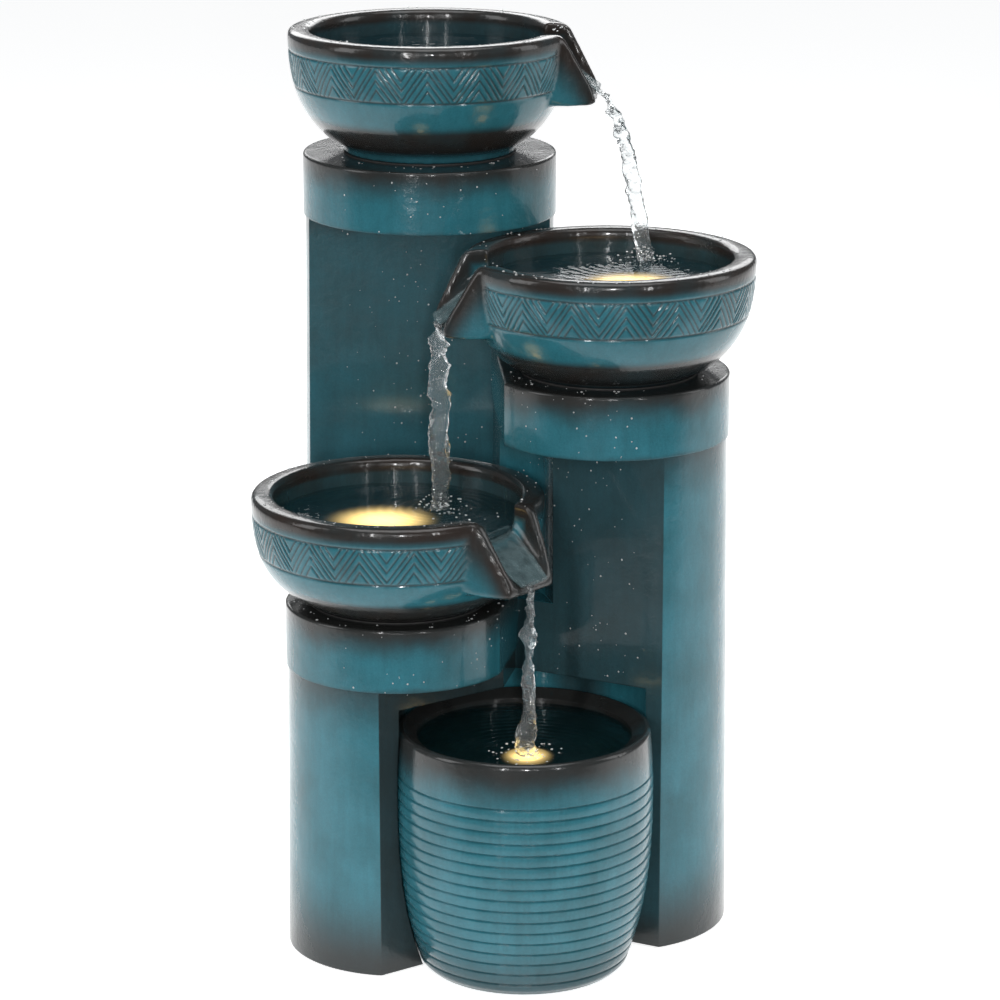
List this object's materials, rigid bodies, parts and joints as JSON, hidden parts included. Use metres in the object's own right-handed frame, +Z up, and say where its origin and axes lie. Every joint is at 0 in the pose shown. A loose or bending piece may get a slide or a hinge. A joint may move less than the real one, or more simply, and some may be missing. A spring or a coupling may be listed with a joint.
{
  "type": "cascading water fountain",
  "caption": "Tiered cascading fountain: round columns of falling height carry spouted bowls that pour from one to the next into a ribbed pot with a hidden pump.",
  "frame": {"origin": "middle of the plan, on the surface that the feet stand on", "axes": "+Z up, the pot is at the front, -Y, and the tallest column is at the back, +Y"},
  "size_m": [0.4504, 0.5398, 0.8],
  "materials": {
    "base_board": "matt",
    "ceramic_shaft": "polished ceramic",
    "clear_lens": "clear",
    "ferrite_magnet": "ground ferrite",
    "fitting_plastic": "moulded",
    "glazed_casting": "cast polyresin, hand painted teal over black, gloss lacquer",
    "pump_plastic": "moulded",
    "rubber": "matt",
    "steel_screws": "zinc plated",
    "vinyl_hose": "clear vinyl",
    "white_pipe": "extruded"
  },
  "bodies": {
    "fountain": {"cord_grommet": "rubber", "hose_joiner": "fitting_plastic", "junction_box": "pump_plastic", "junction_box_lid": "pump_plastic", "left_base_cover": "base_board", "left_cap": "glazed_casting", "left_column": "glazed_casting", "left_pad_screws": "steel_screws", "left_pads": "rubber", "lower_bowl": "glazed_casting", "lower_bowl_bedding": "rubber", "lower_lamp_housing": "fitting_plastic", "lower_lamp_lens": "clear_lens", "lower_lamp_nut": "fitting_plastic", "lower_lamp_seal": "rubber", "middle_bowl": "glazed_casting", "middle_bowl_bedding": "rubber", "middle_lamp_housing": "fitting_plastic", "middle_lamp_lens": "clear_lens", "middle_lamp_nut": "fitting_plastic", "middle_lamp_seal": "rubber", "pot": "glazed_casting", "pot_lamp_housing": "fitting_plastic", "pot_lamp_lens": "clear_lens", "pot_lamp_seal": "rubber", "pot_pads": "rubber", "pump_body": "pump_plastic", "pump_front_cover": "pump_plastic", "pump_hose": "vinyl_hose", "pump_outlet_elbow": "pump_plastic", "rear_base_cover": "base_board", "rear_cap": "glazed_casting", "rear_column": "glazed_casting", "rear_pad_screws": "steel_screws", "rear_pads": "rubber", "right_base_cover": "base_board", "right_cap": "glazed_casting", "right_column": "glazed_casting", "right_pad_screws": "steel_screws", "right_pads": "rubber", "riser_pipe": "white_pipe", "rotor_shaft": "ceramic_shaft", "suction_cups": "rubber", "supply_hose": "vinyl_hose", "top_bowl": "glazed_casting", "top_bowl_bedding": "rubber", "top_inlet": "fitting_plastic", "top_inlet_nut": "fitting_plastic", "top_inlet_seal": "rubber", "wall_fitting": "fitting_plastic", "wall_fitting_nut": "fitting_plastic", "wall_fitting_seal": "rubber"},
    "rotor": {"rotor_magnet": "ferrite_magnet", "impeller": "pump_plastic"},
    "intake_screen": {"intake_screen": "pump_plastic"},
    "flow_dial": {"flow_dial": "pump_plastic"}
  },
  "joints": [
    {"name": "rotor_spin", "type": "hinge", "parent": "fountain", "child": "rotor", "pos_m": [0.0277, -0.1387, 0.044], "axis": [1, 0, 0], "continuous": true},
    {"name": "screen_pull", "type": "slide", "parent": "fountain", "child": "intake_screen", "axis": [1, 0, 0], "range_m": [0, 0.02]},
    {"name": "flow_dial_turn", "type": "hinge", "parent": "intake_screen", "child": "flow_dial", "pos_m": [0.0277, -0.1387, 0.044], "axis": [1, 0, 0], "range_deg": [0, 60]}
  ]
}
